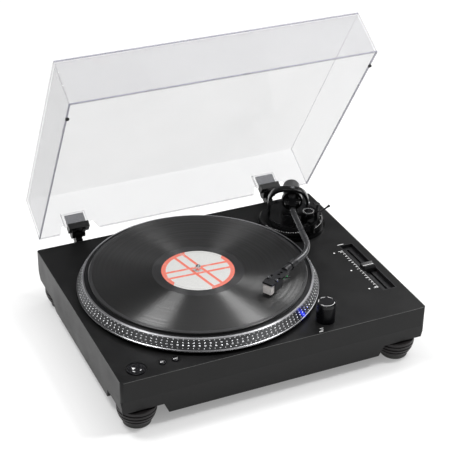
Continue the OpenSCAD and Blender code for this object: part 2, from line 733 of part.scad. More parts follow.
module cue_lever() {
    color("#101012") translate([cue[0], cue[1], cue_z]) rotate([0, 0, cue_dir]) {
        rotate([90, 0, 0]) cylinder(r = 2.4, h = 3, center = true);
        rotate([90, 0, 0]) cylinder(r = 0.95, h = 9.6, center = true);
        rotate([0, 90 - cue_tilt, 0]) {
            cylinder(r = 1.3, h = 22);
            translate([0, 0, 21]) cylinder(r1 = 1.3, r2 = 2.1, h = 5);
        }
    }
}
module lift_bar() {
    top = arm_z - tube_d / 2 - 0.4;
    color("#161618") at_pivot() {
        rotate([0, 0, 222]) rotate_extrude(angle = 54) translate([lift_r - 1.8, top - 2]) square([3.6, 2]);
        rotate([0, 0, lift_dir]) translate([lift_r, 0, 0]) rod(2.5, 93, top - 1);
    }
}
module at_rest() { translate([rest[0], rest[1], 0]) rotate([0, 0, rest_heading]) children(); }
module arm_rest() {
    top = arm_z - tube_d / 2 - 0.6;
    color("#1a1b1d") at_rest() difference() {
        union() {
            rod(3.6, 100, top - 5);
            translate([-4, -6.5, top - 6]) cube([8, 13, 6]);
            translate([-4, 5.4, top - 1]) cube([8, 3.4, arm_z + 9 - top]);
        }
        translate([-5, 7.1, arm_z + 6.5]) rotate([0, 90, 0]) cylinder(r = 1.05, h = 10);
        translate([-2.6, 4, arm_z + 3.4]) cube([5.2, 6, 10]);
    }
}
module arm_clip() {
    color("#222326") at_rest() translate([0, 7.1, arm_z + 6.5]) rotate([-clip_open, 0, 0]) {
        difference() {
            rotate([0, 90, 0]) cylinder(r = 2.2, h = 4.6, center = true);
            rotate([0, 90, 0]) cylinder(r = 0.9, h = 6, center = true);
        }
        rotate([0, 90, 0]) cylinder(r = 1, h = 7.8, center = true);
        translate([-2.3, -14.6, -0.8]) cube([4.6, 13.2, 1.8]);
        translate([-2.3, -14.6, -9]) cube([4.6, 1.8, 9]);
    }
}

module lid_shell() {
    top = rim_z + lid_h;
    mid_y = lid_back - lid_d / 2;
    color("#dfe3ee", 0.35) lid_turn() difference() {
        union() {
            translate([0, mid_y, 0]) difference() {
                slab(lid_w, lid_d, 2, rim_z, top);
                slab(lid_w - 2 * lid_t, lid_d - 2 * lid_t, 1, rim_z - 1, top - lid_t);
            }
            two_hinges() translate([0, lid_back + 3 - eps, 0]) block(37, 6, rim_z + 14, rim_z + 36);
        }
        two_hinges() {
            translate([0, lid_back, 0]) rotate([90, 0, 0]) linear_extrude(12, center = true)
                polygon([[-30, rim_z - 1], [30, rim_z - 1], [24, rim_z + notch_top], [-24, rim_z + notch_top]]);
            translate([0, lid_back + 3, 0]) block(29, 2.4, rim_z + 13, rim_z + 32);
        }
    }
}
module lid_bumpers() {
    color("#1a1a1c") lid_turn() for (x = [-1, 1])
        translate([x * (lid_w / 2 - 1.9), -140.6, 0]) rod(2.6, rim_z - 1.8, rim_z);
}
module hinge_brackets() {
    back = body_d / 2;
    color("#141416") two_hinges() difference() {
        union() {
            translate([0, back + 2, 0]) block(2 * knuckle_half + 14, 4, 42, deck_z - 6);
            translate([0, back + 8, 0]) block(2 * knuckle_half, 12, 48, hinge_z - 6);
            translate([0, hinge_y, hinge_z]) rotate([0, 90, 0])
                cylinder(r = knuckle_r, h = 2 * knuckle_half, center = true);
            translate([0, hinge_y, 0]) block(2 * knuckle_half, 2 * knuckle_r, hinge_z - 14, hinge_z);
        }
        translate([0, hinge_y, hinge_z]) rotate([0, 90, 0])
            cylinder(r = hinge_pin_r + run_gap, h = 2 * knuckle_half + 20, center = true);
    }
}
module hinge_arms() {
    cheek_w = cheek_half - knuckle_half - 0.3;
    color("#1a1a1c") lid_turn() two_hinges() {
        for (x = [-1, 1]) translate([x * (knuckle_half + cheek_half + 0.3) / 2, 0, 0]) {
            translate([0, hinge_y, hinge_z]) rotate([0, 90, 0])
                cylinder(r = knuckle_r, h = cheek_w, center = true);
            translate([0, hinge_y - 8, 0]) block(cheek_w, 16, hinge_z - 3, hinge_z + 6.3);
        }
        translate([0, 170, 0]) block(2 * arm_half, 13, rim_z + 4, rim_z + 13);
        translate([0, lid_back + 3, 0]) block(28, 2, rim_z + 12, rim_z + 31);
        translate([0, hinge_y, hinge_z]) rotate([0, 90, 0])
            cylinder(r = hinge_pin_r, h = 2 * cheek_half, center = true);
    }
}

deck_shell();
base_shell();
base_screws();
foot_housings();
foot_pads();
bearing_housing();
bearing_sleeve();
motor_board();
stator_core();
stator_coils();
main_board();
board_parts();
transformer();
signal_jacks();
ground_terminal();
mains_inlet();
pitch_bezel();
pitch_fader();
pitch_cap();
start_button();
speed_33_button();
speed_45_button();
button_switches();
strobe_tower();
strobe_lens();
power_knob();
platter();
rotor_magnet();
spindle();
slipmat();
record();
record_label();
arm_flange();
height_ring();
lock_lever();
arm_base();
gimbal_yoke();
pivot_screws();
gimbal_ring();
arm_block();
counterweight_shaft();
arm_tube();
locking_collar();
headshell();
finger_lift();
cartridge();
stylus_holder();
cartridge_screws();
cartridge_wires();
counterweight();
force_dial();
anti_skate_dial();
cue_lever();
lift_bar();
arm_rest();
arm_clip();
lid_shell();
lid_bumpers();
hinge_brackets();
hinge_arms();
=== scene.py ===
import json
import math
import bpy
from mathutils import Matrix, Vector


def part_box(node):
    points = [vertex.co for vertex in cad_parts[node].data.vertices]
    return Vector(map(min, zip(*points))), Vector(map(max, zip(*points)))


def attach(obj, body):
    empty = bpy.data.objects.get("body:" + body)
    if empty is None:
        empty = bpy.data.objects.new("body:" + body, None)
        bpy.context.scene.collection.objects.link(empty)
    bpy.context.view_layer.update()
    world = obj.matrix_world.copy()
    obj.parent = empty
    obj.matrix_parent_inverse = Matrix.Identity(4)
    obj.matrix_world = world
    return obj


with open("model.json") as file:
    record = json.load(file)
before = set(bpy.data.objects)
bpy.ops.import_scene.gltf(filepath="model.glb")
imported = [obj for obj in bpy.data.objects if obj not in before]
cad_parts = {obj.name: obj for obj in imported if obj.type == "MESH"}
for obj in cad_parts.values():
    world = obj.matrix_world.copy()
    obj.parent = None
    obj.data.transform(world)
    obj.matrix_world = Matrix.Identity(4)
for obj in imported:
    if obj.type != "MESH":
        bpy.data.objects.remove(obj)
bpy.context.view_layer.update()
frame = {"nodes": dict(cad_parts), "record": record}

NODES = frame["nodes"]
JOINTS = {j["name"]: j for j in frame["record"]["behaviour"]["joints"]}
MM = 0.001


def at(joint):
    return Vector(JOINTS[joint]["pos_m"])


def heading(deg):
    a = math.radians(deg)
    return Vector((math.cos(a), math.sin(a), 0.0))


# camera
CAM_AT = Vector((-0.6524, -1.4219, 1.0781))
YAW, PITCH, ROLL = math.radians(24.59), math.radians(30.2), math.radians(0.78)
look = Vector((math.sin(YAW) * math.cos(PITCH), math.cos(YAW) * math.cos(PITCH), -math.sin(PITCH)))
right = Vector((math.cos(YAW), -math.sin(YAW), 0.0))
up = right.cross(look)
right_r = right * math.cos(ROLL) + up * math.sin(ROLL)
up_r = -right * math.sin(ROLL) + up * math.cos(ROLL)
cam_data = bpy.data.cameras.new("camera")
cam_data.sensor_width = 36.0
cam_data.lens = 106.18
cam_data.clip_end = 50
cam = bpy.data.objects.new("camera", cam_data)
bpy.context.scene.collection.objects.link(cam)
cam.matrix_world = Matrix((
    (right_r.x, up_r.x, -look.x, CAM_AT.x),
    (right_r.y, up_r.y, -look.y, CAM_AT.y),
    (right_r.z, up_r.z, -look.z, CAM_AT.z),
    (0, 0, 0, 1)))
bpy.context.scene.camera = cam


# node helpers
class Graph:
    def __init__(self, name):
        self.mat = bpy.data.materials.new(name)
        self.mat.use_nodes = True
        self.tree = self.mat.node_tree
        self.tree.nodes.clear()
        self.out = self.add("ShaderNodeOutputMaterial")
        self.bsdf = self.add("ShaderNodeBsdfPrincipled")
        self.link(self.bsdf.outputs[0], self.out.inputs[0])
        self.coord = self.add("ShaderNodeTexCoord").outputs["Object"]

    def add(self, kind):
        return self.tree.nodes.new(kind)

    def link(self, a, b):
        self.tree.links.new(a, b)

    def put(self, socket, value):
        if isinstance(value, bpy.types.NodeSocket):
            self.link(value, socket)
        else:
            socket.default_value = value

    def math(self, op, a, b=0.0, c=0.0):
        n = self.add("ShaderNodeMath")
        n.operation = op
        self.put(n.inputs[0], a)
        self.put(n.inputs[1], b)
        self.put(n.inputs[2], c)
        return n.outputs[0]

    def noise(self, scale, detail=3.0, rough=0.5, vector=None, distort=0.0):
        n = self.add("ShaderNodeTexNoise")
        n.inputs["Scale"].default_value = scale
        n.inputs["Detail"].default_value = detail
        n.inputs["Roughness"].default_value = rough
        n.inputs["Distortion"].default_value = distort
        self.link(vector or self.coord, n.inputs["Vector"])
        return n.outputs["Fac"]

    def remap(self, value, a, b, c, d):
        n = self.add("ShaderNodeMapRange")
        for i, v in enumerate((value, a, b, c, d)):
            self.put(n.inputs[i], v)
        return n.outputs[0]

    def mix(self, fac, a, b, mode="MIX"):
        n = self.add("ShaderNodeMix")
        n.data_type = "RGBA"
        n.blend_type = mode
        self.put(n.inputs[0], fac)
        for socket, v in ((n.inputs[6], a), (n.inputs[7], b)):
            self.put(socket, v if isinstance(v, bpy.types.NodeSocket) else rgba(v))
        return n.outputs[2]

    def bump(self, height, strength, distance, normal=None):
        n = self.add("ShaderNodeBump")
        n.inputs["Strength"].default_value = strength
        n.inputs["Distance"].default_value = distance
        self.link(height, n.inputs["Height"])
        if normal is not None:
            self.link(normal, n.inputs["Normal"])
        return n.outputs[0]

    def axes(self, centre=(0, 0, 0)):
        n = self.add("ShaderNodeVectorMath")
        n.operation = "SUBTRACT"
        self.link(self.coord, n.inputs[0])
        n.inputs[1].default_value = tuple(centre)
        s = self.add("ShaderNodeSeparateXYZ")
        self.link(n.outputs[0], s.inputs[0])
        return s.outputs[0], s.outputs[1], s.outputs[2]

    def radius(self, centre):
        x, y, _ = self.axes(centre)
        return self.math("SQRT", self.math("ADD", self.math("MULTIPLY", x, x), self.math("MULTIPLY", y, y)))

    def stretch(self, scale):
        n = self.add("ShaderNodeMapping")
        n.inputs["Scale"].default_value = scale
        self.link(self.coord, n.inputs["Vector"])
        return n.outputs[0]

    def set(self, **values):
        names = {"color": "Base Color", "rough": "Roughness", "metal": "Metallic", "normal": "Normal",
                 "coat": "Coat Weight", "coat_rough": "Coat Roughness", "alpha": "Alpha", "ior": "IOR",
                 "spec": "Specular IOR Level", "sheen": "Sheen Weight", "emit": "Emission Color",
                 "glow": "Emission Strength", "aniso": "Anisotropic", "trans": "Transmission Weight"}
        for k, v in values.items():
            plain_colour = k in ("color", "emit") and not isinstance(v, bpy.types.NodeSocket)
            self.put(self.bsdf.inputs[names[k]], rgba(v) if plain_colour else v)
        return self.mat


def rgba(c):
    if isinstance(c, (int, float)):
        return (c, c, c, 1.0)
    return tuple(c) if len(c) == 4 else (c[0], c[1], c[2], 1.0)


def plain(name, color, rough=0.4, metal=0.0, vary=0.18, grain=900.0, bump=0.12, wear=0.06, coat=0.0,
          spec=0.5, depth=0.0001):
    """Painted, moulded or cast surface: mottled colour, fine bump, patchy roughness, faint scuffs."""
    g = Graph(name)
    base = rgba(color)
    dark = tuple(c * (1 - vary) for c in base[:3])
    light = tuple(min(1.0, c * (1 + vary) + wear * 0.03) for c in base[:3])
    broad = g.noise(22.0, 4.0, 0.6)
    fine = g.noise(grain, 3.0, 0.6)
    scuff = g.remap(g.noise(160.0, 6.0, 0.75, distort=0.4), 0.62, 0.74, 0.0, wear)
    col = g.mix(g.remap(g.math("ADD", g.math("MULTIPLY", broad, 0.6), g.math("MULTIPLY", fine, 0.4)),
                        0.35, 0.65, 0.0, 1.0), dark, light)
    worn = tuple(min(1.0, c * 1.5 + 0.05) for c in base[:3])
    col = g.mix(scuff, col, worn)
    r = g.remap(g.math("ADD", broad, g.math("MULTIPLY", scuff, 1.5)), 0.3, 0.8, max(rough - 0.05, 0.02), rough + 0.07)
    g.set(color=col, rough=r, metal=metal, spec=spec, normal=g.bump(fine, bump, depth))
    if coat:
        g.set(coat=coat, coat_rough=0.05)
    return g.mat


def turned(name, color, centre, rough=0.28, metal=1.0, pitch=0.0005, bump=0.2):
    """Lathe-turned metal: fine rings about an upright axis."""
    g = Graph(name)
    base = rgba(color)
    r = g.radius(centre)
    ring = g.math("SINE", g.math("MULTIPLY", r, 2 * math.pi / pitch))
    broad = g.noise(60.0, 3.0)
    darker = tuple(c * 0.86 for c in base[:3])
    lighter = tuple(min(1, c * 1.08) for c in base[:3])
    col = g.mix(g.remap(broad, 0.3, 0.7, 0.0, 1.0), darker, lighter)
    g.set(color=col, metal=metal, rough=g.remap(broad, 0.3, 0.7, rough - 0.05, rough + 0.08),
          normal=g.bump(ring, bump, 0.00004))
    return g.mat


def give(material, *nodes):
    for n in nodes:
        o = NODES[n]
        o.data.materials.clear()
        o.data.materials.append(material)


def soften(width, *nodes, segments=2, angle=35):
    for n in nodes:
        # the CAD meshes come in with their corners split, and a bevel needs them joined
        NODES[n].modifiers.new("join", "WELD").merge_threshold = 0.01 * MM
        m = NODES[n].modifiers.new("edge", "BEVEL")
        m.width = width
        m.segments = segments
        m.limit_method = "ANGLE"
        m.angle_limit = math.radians(angle)
        m.use_clamp_overlap = True
        m.harden_normals = False


def mesh(name, verts, faces, material, body, smooth=False):
    data = bpy.data.meshes.new(name)
    data.from_pydata([tuple(v) for v in verts], [], faces)
    data.update()
    if smooth:
        for p in data.polygons:
            p.use_smooth = True
    o = bpy.data.objects.new(name, data)
    bpy.context.scene.collection.objects.link(o)
    o.data.materials.append(material)
    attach(o, body)
    return o


class Shape:
    """Collects thin raised pieces so that one name holds one kind of mark."""

    def __init__(self):
        self.v, self.f = [], []

    def prism(self, outline, low, high, frame_m=None):
        n = len(outline)
        k = len(self.v)
        for z in (low, high):
            for p in outline:
                q = Vector((p[0], p[1], z))
                self.v.append(frame_m @ q if frame_m else q)
        self.f.append(tuple(range(k + n - 1, k - 1, -1)))
        self.f.append(tuple(range(k + n, k + 2 * n)))
        for i in range(n):
            j = (i + 1) % n
            self.f.append((k + i, k + j, k + n + j, k + n + i))

    def bar(self, a, b, w, low, high, frame_m=None):
        a, b = Vector((a[0], a[1])), Vector((b[0], b[1]))
        d = (b - a).normalized()
        s = Vector((-d.y, d.x)) * (w / 2)
        self.prism([a - s, b - s, b + s, a + s], low, high, frame_m)

    def disc(self, c, r, low, high, frame_m=None, n=20):
        self.prism([(c[0] + r * math.cos(2 * math.pi * i / n), c[1] + r * math.sin(2 * math.pi * i / n))
                    for i in range(n)], low, high, frame_m)

    def arc(self, c, r, w, a0, a1, low, high, frame_m=None, step=4.0):
        n = max(2, int(abs(a1 - a0) / step) + 1)
        for i in range(n):
            t0 = math.radians(a0 + (a1 - a0) * i / n)
            t1 = math.radians(a0 + (a1 - a0) * (i + 1) / n)
            q = [(c[0] + rr * math.cos(t), c[1] + rr * math.sin(t))
                 for rr, t in ((r - w / 2, t0), (r + w / 2, t0), (r + w / 2, t1), (r - w / 2, t1))]
            self.prism(q, low, high, frame_m)

    def make(self, name, material, body):
        return mesh(name, self.v, self.f, material, body)


# places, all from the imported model
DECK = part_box("deck_shell")[1].z
PLATTER = at("platter_spin")
PIVOT = at("tonearm_swing")
TOWER = at("power_turn")
DIAL = at("anti_skate_turn")
LID_HINGE = at("lid_hinge")
rim_low, rim_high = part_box("platter")
P0 = Vector((PLATTER.x, PLATTER.y, 0))

# painted and moulded parts
give(plain("deck_paint", (0.0065, 0.0065, 0.0067), 0.36, grain=1500, bump=0.2, vary=0.22, wear=0.05,
           spec=0.22), "deck_shell")
give(plain("base_plastic", (0.006, 0.006, 0.0062), 0.42, grain=1100, bump=0.3, vary=0.2, spec=0.22), "base_shell")
give(plain("foot_plastic", (0.012, 0.010, 0.0105), 0.42, grain=1000, bump=0.25, spec=0.3), "foot_housings")
give(plain("foot_rubber", (0.05, 0.05, 0.048), 0.75, grain=700, bump=0.4, wear=0.12), "foot_pads")
give(plain("bumper_rubber", (0.012, 0.012, 0.0125), 0.75, grain=700, bump=0.4, wear=0.12), "lid_bumpers")
give(plain("gloss_black", (0.004, 0.004, 0.005), 0.12, grain=500, bump=0.03, vary=0.1, wear=0.03, coat=0.6),
     "start_button", "speed_33_button", "speed_45_button")
give(plain("tower_black", (0.003, 0.003, 0.004), 0.3, grain=800, bump=0.05, vary=0.1, wear=0.02, spec=0.12),
     "strobe_tower")
give(plain("arm_black", (0.003, 0.003, 0.0033), 0.16, grain=1300, bump=0.05, wear=0.02, spec=0.4),
     "arm_flange", "arm_base", "gimbal_yoke", "gimbal_ring", "arm_block", "lock_lever", "arm_rest",
     "arm_clip", "cue_lever", "lift_bar", "height_ring", "anti_skate_dial", "force_dial", "finger_lift")
give(plain("slider_black", (0.008, 0.008, 0.009), 0.35, grain=1200, bump=0.15), "pitch_bezel", "pitch_cap")
give(plain("knob_black", (0.003, 0.003, 0.004), 0.3, grain=1600, bump=0.15, spec=0.3, wear=0.02), "power_knob")
give(plain("hinge_black", (0.004, 0.004, 0.0043), 0.34, grain=1000, bump=0.15, wear=0.02, spec=0.2),
     "hinge_brackets", "hinge_arms")
give(plain("board", (0.04, 0.17, 0.08), 0.4, grain=300, bump=0.1), "motor_board", "main_board")
give(plain("black_parts", (0.03, 0.03, 0.033), 0.45), "board_parts", "mains_inlet", "button_switches", "cartridge")
give(plain("laminations", (0.2, 0.2, 0.21), 0.45, metal=1.0, grain=400), "stator_core", "transformer", "pitch_fader",
     "rotor_magnet")
give(plain("copper", (0.7, 0.3, 0.14), 0.35, metal=1.0, grain=1400), "stator_coils")
give(plain("bronze", (0.6, 0.42, 0.2), 0.35, metal=1.0), "bearing_sleeve")
give(plain("steel", (0.55, 0.56, 0.58), 0.3, metal=1.0, grain=600, bump=0.08), "base_screws", "bearing_housing",
     "counterweight_shaft", "signal_jacks", "ground_terminal")
give(plain("bright_metal", (0.75, 0.76, 0.78), 0.16, metal=1.0, grain=700, bump=0.05), "spindle", "pivot_screws",
     "cartridge_screws")
give(plain("arm_tube", (0.105, 0.106, 0.11), 0.26, metal=0.85, grain=500, bump=0.06), "arm_tube")
give(plain("collar", (0.03, 0.03, 0.032), 0.28, metal=0.6, grain=700, bump=0.1), "locking_collar")
give(plain("weight", (0.075, 0.076, 0.078), 0.4, metal=0.3, grain=900, bump=0.1), "counterweight")
give(plain("headshell", (0.022, 0.022, 0.024), 0.3, metal=0.3, grain=900, bump=0.1), "headshell")
give(plain("stylus_plastic", (0.92, 0.84, 0.82), 0.3, grain=500, bump=0.05), "stylus_holder")
g = Graph("strobe_lens")
give(g.set(color=g.mix(g.noise(300.0), (0.05, 0.16, 1.0), (0.15, 0.35, 1.0)), rough=0.2, emit=(0.0, 0.02, 1.0),
           glow=1.2), "strobe_lens")

# slipmat felt
g = Graph("felt")
fibre = g.noise(2600.0, 5.0, 0.8)
give(g.set(color=g.mix(fibre, 0.018, 0.045), rough=0.95, sheen=0.3, normal=g.bump(fibre, 0.8, 0.0003)), "slipmat")

# vinyl: grooves with bands between the tracks and a smooth run-out
g = Graph("vinyl")
r = g.radius(P0)
groove = g.math("SINE", g.math("MULTIPLY", r, 2 * math.pi / 0.00035))
bands = g.noise(1.0, 4.0, 0.7)
track = g.add("ShaderNodeTexNoise")
track.noise_dimensions = "1D"
track.inputs["Scale"].default_value = 260.0
track.inputs["Detail"].default_value = 4.0
g.link(r, track.inputs["W"])
cut = g.math("MULTIPLY", g.remap(r, 0.0630, 0.0638, 0.0, 1.0), g.remap(r, 0.1455, 0.1462, 1.0, 0.0))
fine_band = g.remap(track.outputs["Fac"], 0.35, 0.65, 0.0, 1.0)
height = g.math("MULTIPLY", g.math("ADD", g.math("MULTIPLY", groove, 0.4), track.outputs["Fac"]), cut)
lean = g.math("MULTIPLY", g.math("MINIMUM", g.math("MAXIMUM", r, 0.0634), 0.1458), -1.0)
color = g.mix(cut, (0.021, 0.021, 0.022), g.mix(fine_band, 0.0065, 0.0105))
tangent = g.add("ShaderNodeTangent")
tangent.direction_type = "RADIAL"
tangent.axis = "Z"
g.link(tangent.outputs[0], g.bsdf.inputs["Tangent"])
g.bsdf.inputs["Anisotropic Rotation"].default_value = 0.25
give(g.set(color=color, rough=g.math("ADD", 0.30, g.math("MULTIPLY", cut, g.math("MULTIPLY", fine_band, 0.12))), aniso=1.0,
           normal=g.bump(height, 0.05, 0.00002, normal=g.bump(lean, 1.0, 0.38)), spec=0.75,
           coat=0.7, coat_rough=0.06), "record")

# paper label: a plain ground with a simple geometric print
g = Graph("label")
r = g.radius(P0)
x, y, _ = g.axes(P0)
speck = g.noise(900.0, 4.0, 0.7)
blot = g.noise(120.0, 4.0, 0.6)
paper = g.mix(g.remap(speck, 0.3, 0.7, 0.0, 1.0), (0.52, 0.52, 0.51), (0.64, 0.64, 0.62))
red = None
for turn, wide in ((-77.0, 0.0095), (-3.0, 0.0095)):
    ca, sa = math.cos(math.radians(turn)), math.sin(math.radians(turn))
    off = g.math("ABSOLUTE", g.math("SUBTRACT", g.math("MULTIPLY", y, ca), g.math("MULTIPLY", x, sa)))
    bar = g.math("MULTIPLY", g.math("GREATER_THAN", off, wide - 0.0042), g.math("LESS_THAN", off, wide))
    red = bar if red is None else g.math("MAXIMUM", red, bar)
across = g.math("ABSOLUTE", g.math("ADD", g.math("MULTIPLY", x, 0.84), g.math("MULTIPLY", y, -0.54)))
band = g.math("MULTIPLY", g.math("GREATER_THAN", r, 0.0445), g.math("GREATER_THAN", across, 0.026))
red = g.math("MAXIMUM", g.math("MULTIPLY", red, g.math("LESS_THAN", r, 0.0490)), band)
red = g.math("MULTIPLY", red, g.remap(blot, 0.32, 0.42, 0.6, 1.0))
col = g.mix(red, paper, (0.72, 0.17, 0.12))
edge = g.remap(g.math("ABSOLUTE", g.math("SUBTRACT", r, 0.047)), 0.0002, 0.0004, 0.5, 0.0)
col = g.mix(edge, col, (0.25, 0.22, 0.21))
give(g.set(color=col, rough=0.55, normal=g.bump(speck, 0.15, 0.0001)), "record_label")

# platter: turned metal with bright lips
R_OUT = (rim_high.x - rim_low.x) / 2
g = Graph("platter")
r = g.radius(P0)
_, _, z = g.axes((0, 0, rim_low.z))
bright = g.math("MULTIPLY", g.remap(z, 0.0140, 0.0148, 0.0, 1.0), g.math("GREATER_THAN", r, R_OUT - 10.4 * MM))
lip = g.math("LESS_THAN", z, 0.0021)
shine = g.math("MAXIMUM", bright, g.math("MULTIPLY", lip, 0.5))
slope_part = g.math("GREATER_THAN", r, R_OUT - 8.2 * MM)
ring = g.math("SINE", g.math("MULTIPLY", r, 2 * math.pi / 0.0006))
soft = g.noise(40.0, 3.0)
dull = g.mix(slope_part, (0.010, 0.010, 0.011), (0.115, 0.116, 0.12))
tangent = g.add("ShaderNodeTangent")
tangent.direction_type = "RADIAL"
tangent.axis = "Z"
g.link(tangent.outputs[0], g.bsdf.inputs["Tangent"])
g.bsdf.inputs["Anisotropic Rotation"].default_value = 0.25
give(g.set(color=g.mix(shine, dull, (0.60, 0.60, 0.62)), metal=g.remap(g.math("MAXIMUM", shine, slope_part), 0.0, 1.0, 0.3, 1.0),
           rough=g.remap(soft, 0.3, 0.7, 0.3, 0.4), aniso=0.8, normal=g.bump(ring, 0.15, 0.00003)), "platter")

# strobe dots: four rows on the sloped rim
dot_metal = plain("strobe_dot", (0.55, 0.555, 0.57), 0.3, metal=0.9, grain=900, bump=0.05)
R_LOW, R_HIGH = R_OUT - 1.2 * MM, R_OUT - 7.9 * MM
Z_LOW, Z_HIGH = rim_low.z + 2.4 * MM, rim_low.z + 14.9 * MM
slope = Vector((R_HIGH - R_LOW, 0, Z_HIGH - Z_LOW)).normalized()
outward = Vector((slope.z, 0, -slope.x))
dots_v, dots_f = [], []
# each row: place up the slope, number of dots, half width and half height in mm
DOT_ROWS = ((0.12, 150, 1.0, 0.75), (0.36, 144, 1.55, 1.15), (0.62, 144, 1.3, 1.0), (0.87, 150, 0.9, 0.65))
for share, count, half_w, half_h in DOT_ROWS:
    rr = R_LOW + (R_HIGH - R_LOW) * share
    zz = Z_LOW + (Z_HIGH - Z_LOW) * share
    for i in range(count):
        turn = Matrix.Rotation(2 * math.pi * i / count, 4, "Z")
        k = len(dots_v)
        rows = ((1.0, -0.02), (0.66, 0.42), (0.0, 0.62))
        for size, lift in rows[:2]:
            for j in range(10):
                a = 2 * math.pi * j / 10
                p = Vector((rr, 0, zz)) + outward * (lift * MM) + slope * (half_h * size * MM * math.sin(a))
                p += Vector((0, half_w * size * MM * math.cos(a), 0))
                dots_v.append(P0 + turn @ p)
        dots_v.append(P0 + turn @ (Vector((rr, 0, zz)) + outward * (0.62 * MM)))
        for j in range(10):
            n = (j + 1) % 10
            dots_f.append((k + j, k + n, k + 10 + n, k + 10 + j))
            dots_f.append((k + 10 + j, k + 10 + n, k + 20))
mesh("strobe_dots", dots_v, dots_f, dot_metal, "turning_platter", smooth=True)

# printed marks, and two painted highlights on the start button
white_print_and_highlight = plain("white_ink_and_painted_highlight", (0.78, 0.78, 0.78), 0.5, grain=900, bump=0.05, vary=0.06, wear=0.0)
grey_ink = plain("grey_ink", (0.42, 0.42, 0.43), 0.5, grain=900, bump=0.05, vary=0.06, wear=0.0)
T = 0.06 * MM
b_low, b_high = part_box("start_button")
bc = (b_low + b_high) / 2
m = Shape()
bz = b_high.z
m.prism([(bc.x - 4.6 * MM, bc.y - 1.0 * MM), (bc.x - 0.4 * MM, bc.y + 1.5 * MM),
         (bc.x - 4.6 * MM, bc.y + 4.0 * MM)], bz - T, bz + T)
# the two arcs are painted highlights: white strokes standing in for light caught on the button's ring; the triangle
# is print
m.arc((bc.x, bc.y), 6.6 * MM, 1.0 * MM, 205, 238, bz - T, bz + T)
m.arc((bc.x, bc.y), 6.6 * MM, 1.0 * MM, 300, 322, bz - T, bz + T)
m.make("start_stop_print_and_highlight", white_print_and_highlight, "start_stop")
m = Shape()
for name in ("speed_33_button", "speed_45_button"):
    lo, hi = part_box(name)
    c = (lo + hi) / 2
    n = 3 if name.startswith("speed_33") else 4
    for i in range(n):
        bar_x = c.x + i * 1.5 * MM
        m.bar((bar_x - 2.6 * MM, c.y - 0.6 * MM), (bar_x - 1.9 * MM, c.y + 1.6 * MM), 0.7 * MM,
              hi.z - T, hi.z + T)
    m.make(name.replace("button", "mark"), white_print_and_highlight, name.replace("_button", ""))
    m = Shape()

# power cap: broken white line round its top
k_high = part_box("power_knob")[1]
m = Shape()
for a0, a1 in ((200, 330), (20, 55), (75, 110), (130, 165)):
    m.arc((TOWER.x, TOWER.y), 10.7 * MM, 0.6 * MM, a0, a1, k_high.z - T, k_high.z + T)
m.make("power_cap_line", white_print_and_highlight, "power_cap")
m = Shape()
for dx, dy, l in ((-17, -16, 5.0), (-17, -19.5, 3.5), (-21, -22, 6.0)):
    mark_y = TOWER.y + dy * MM
    m.bar((TOWER.x + dx * MM, mark_y), (TOWER.x + (dx + l) * MM, mark_y), 0.9 * MM, DECK - T, DECK + T)
m.make("power_marks", white_print_and_highlight, "plinth")

# pitch scale beside the slot
lo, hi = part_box("pitch_bezel")
mid_y = (lo.y + hi.y) / 2 - 2 * MM
sx = lo.x - 5.2 * MM
m = Shape()
for s in (-1, 1):
    m.bar((sx + 3.0 * MM, mid_y + s * 3 * MM), (sx + 3.0 * MM, mid_y + s * 52 * MM), 0.3 * MM, DECK - T, DECK + T)
    m.bar((sx - 3.5 * MM, mid_y + s * 52 * MM), (sx + 3.6 * MM, mid_y + s * 52 * MM), 0.9 * MM, DECK - T, DECK + T)
for i in range(-8, 9):
    length = 4.4 if i % 4 == 0 else 3.0
    tick_y = mid_y + i * 6.2 * MM
    m.bar((sx + (3.0 - length) * MM, tick_y), (sx + 3.0 * MM, tick_y), 1.0 * MM, DECK - T, DECK + T)
# a short white bar across the far end of the slot
m.bar((lo.x - 1.0 * MM, hi.y + 2.2 * MM), (lo.x + 9.0 * MM, hi.y + 2.2 * MM), 1.3 * MM, DECK - T, DECK + T)
m.make("pitch_scale", white_print_and_highlight, "plinth")
m = Shape()
for i in (-1, 0, 1):
    m.disc((sx - 10.5 * MM, mid_y + i * 51 * MM), 1.3 * MM, DECK - T, DECK + T)
m.make("pitch_dots", white_print_and_highlight, "plinth")
lo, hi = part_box("pitch_cap")
m = Shape()
cap_y = (lo.y + hi.y) / 2
m.bar((lo.x + 0.6 * MM, cap_y), (hi.x - 0.6 * MM, cap_y), 0.9 * MM, hi.z - 1.65 * MM, hi.z - 1.5 * MM)
m.make("pitch_cap_line", white_print_and_highlight, "pitch_slider")

# tonearm marks
ring_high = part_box("height_ring")[1]
m = Shape()
for i in range(36):
    a = heading(190 + i * 4.4)
    long = i % 5 == 0
    q0 = Vector((PIVOT.x, PIVOT.y, 0)) + a * (43.5 if long else 44.8) * MM
    q1 = Vector((PIVOT.x, PIVOT.y, 0)) + a * 46.6 * MM
    m.bar(q0, q1, 0.55 * MM, ring_high.z - T, ring_high.z + T)
m.make("height_marks", white_print_and_highlight, "height_collar")
d_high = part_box("anti_skate_dial")[1].z
m = Shape()
for i in range(16):
    a = heading(i * 22.5)
    dial_mid = Vector((DIAL.x, DIAL.y, 0))
    m.bar(dial_mid + a * 6.8 * MM, dial_mid + a * 8.8 * MM, 0.6 * MM, d_high - T, d_high + T)
m.make("anti_skate_marks", white_print_and_highlight, "anti_skate")

